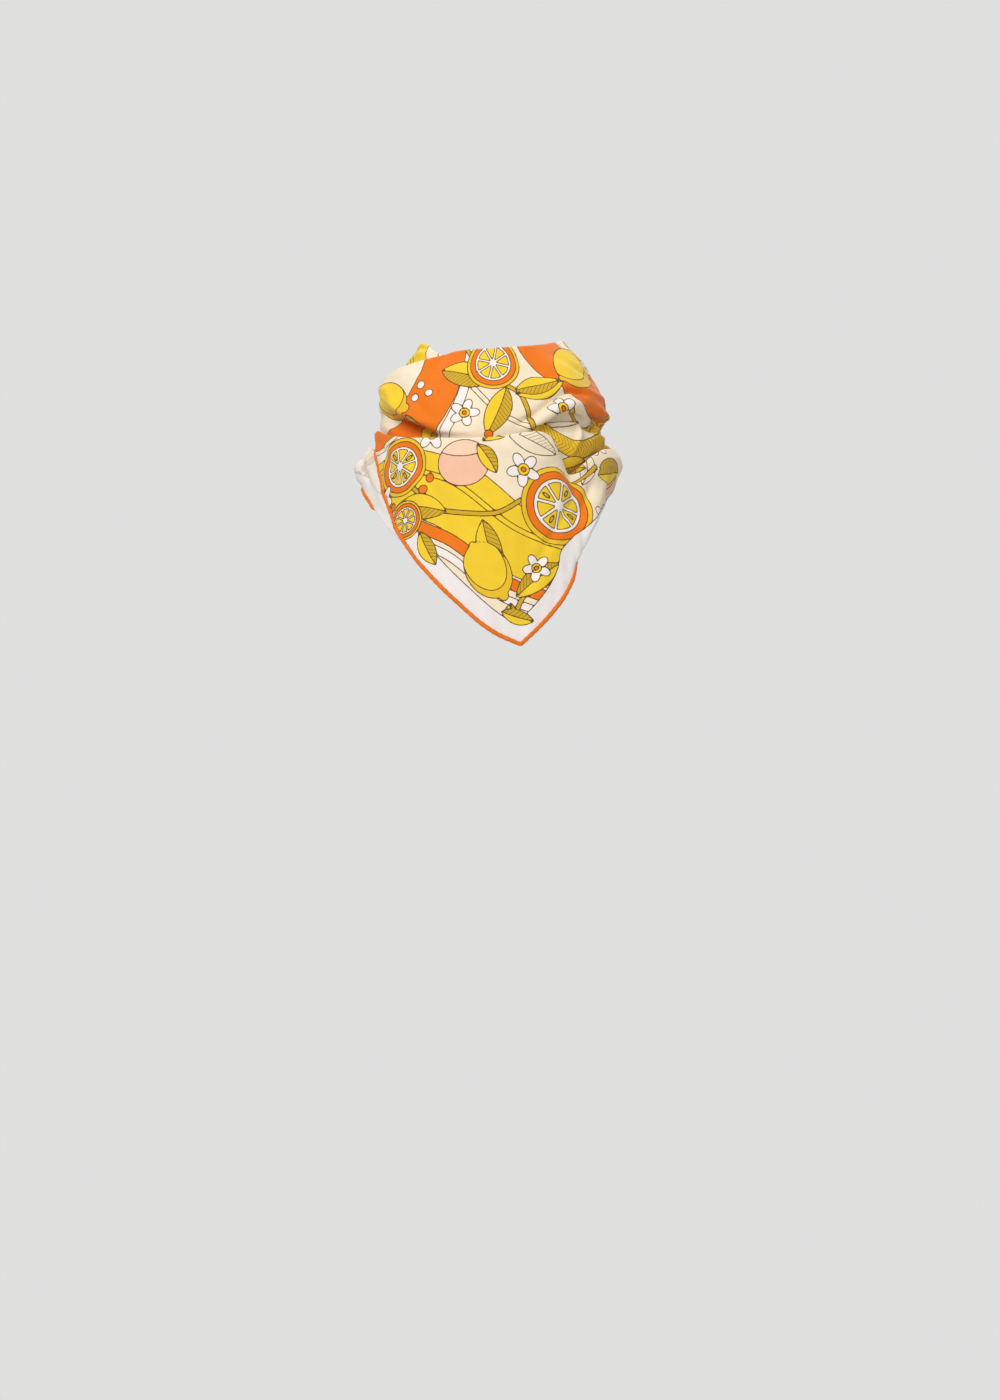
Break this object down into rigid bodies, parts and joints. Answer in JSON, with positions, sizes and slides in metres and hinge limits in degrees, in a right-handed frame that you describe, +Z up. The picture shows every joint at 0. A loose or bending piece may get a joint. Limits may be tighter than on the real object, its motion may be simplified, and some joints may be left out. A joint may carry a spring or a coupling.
{
  "type": "cotton scarf",
  "caption": "Square cotton scarf folded corner to corner, worn round a neck with its point in front, a cowl fold across the chest and a knot at the nape.",
  "frame": {"origin": "on the neck's axis, at the height where the scarf bears on the nape: where the neck holds it", "axes": "+Z up, -Y towards the front point, +X to the wearer's left, which is the right side of the front view"},
  "size_m": [0.2134, 0.2137, 0.2471],
  "materials": {
    "printed_cotton": "fine plain-weave cotton voile, printed in ivory, yellow and orange with thin brown outlines, matt",
    "cotton_wrong_side": "wrong side of the same voile, the print showing through faintly",
    "rolled_hem": "hand-rolled hem, dyed orange"
  },
  "bodies": {
    "root": {"neck_band": "printed_cotton", "front_drop": "printed_cotton", "under_ply": "cotton_wrong_side", "inner_wrap_left": "printed_cotton", "wrap_left": "printed_cotton", "wrap_right": "printed_cotton", "shoulder_wrap_left": "printed_cotton", "shoulder_wrap_right": "printed_cotton", "nape_knot": "printed_cotton", "tail_left": "printed_cotton", "tail_right": "printed_cotton", "hem_front_left": "rolled_hem", "hem_front_right": "rolled_hem", "hem_under_left": "rolled_hem", "hem_under_right": "rolled_hem", "hem_shoulder_left": "rolled_hem", "hem_shoulder_right": "rolled_hem", "hem_tail_left": "rolled_hem", "hem_tail_right": "rolled_hem"}
  },
  "joints": []
}
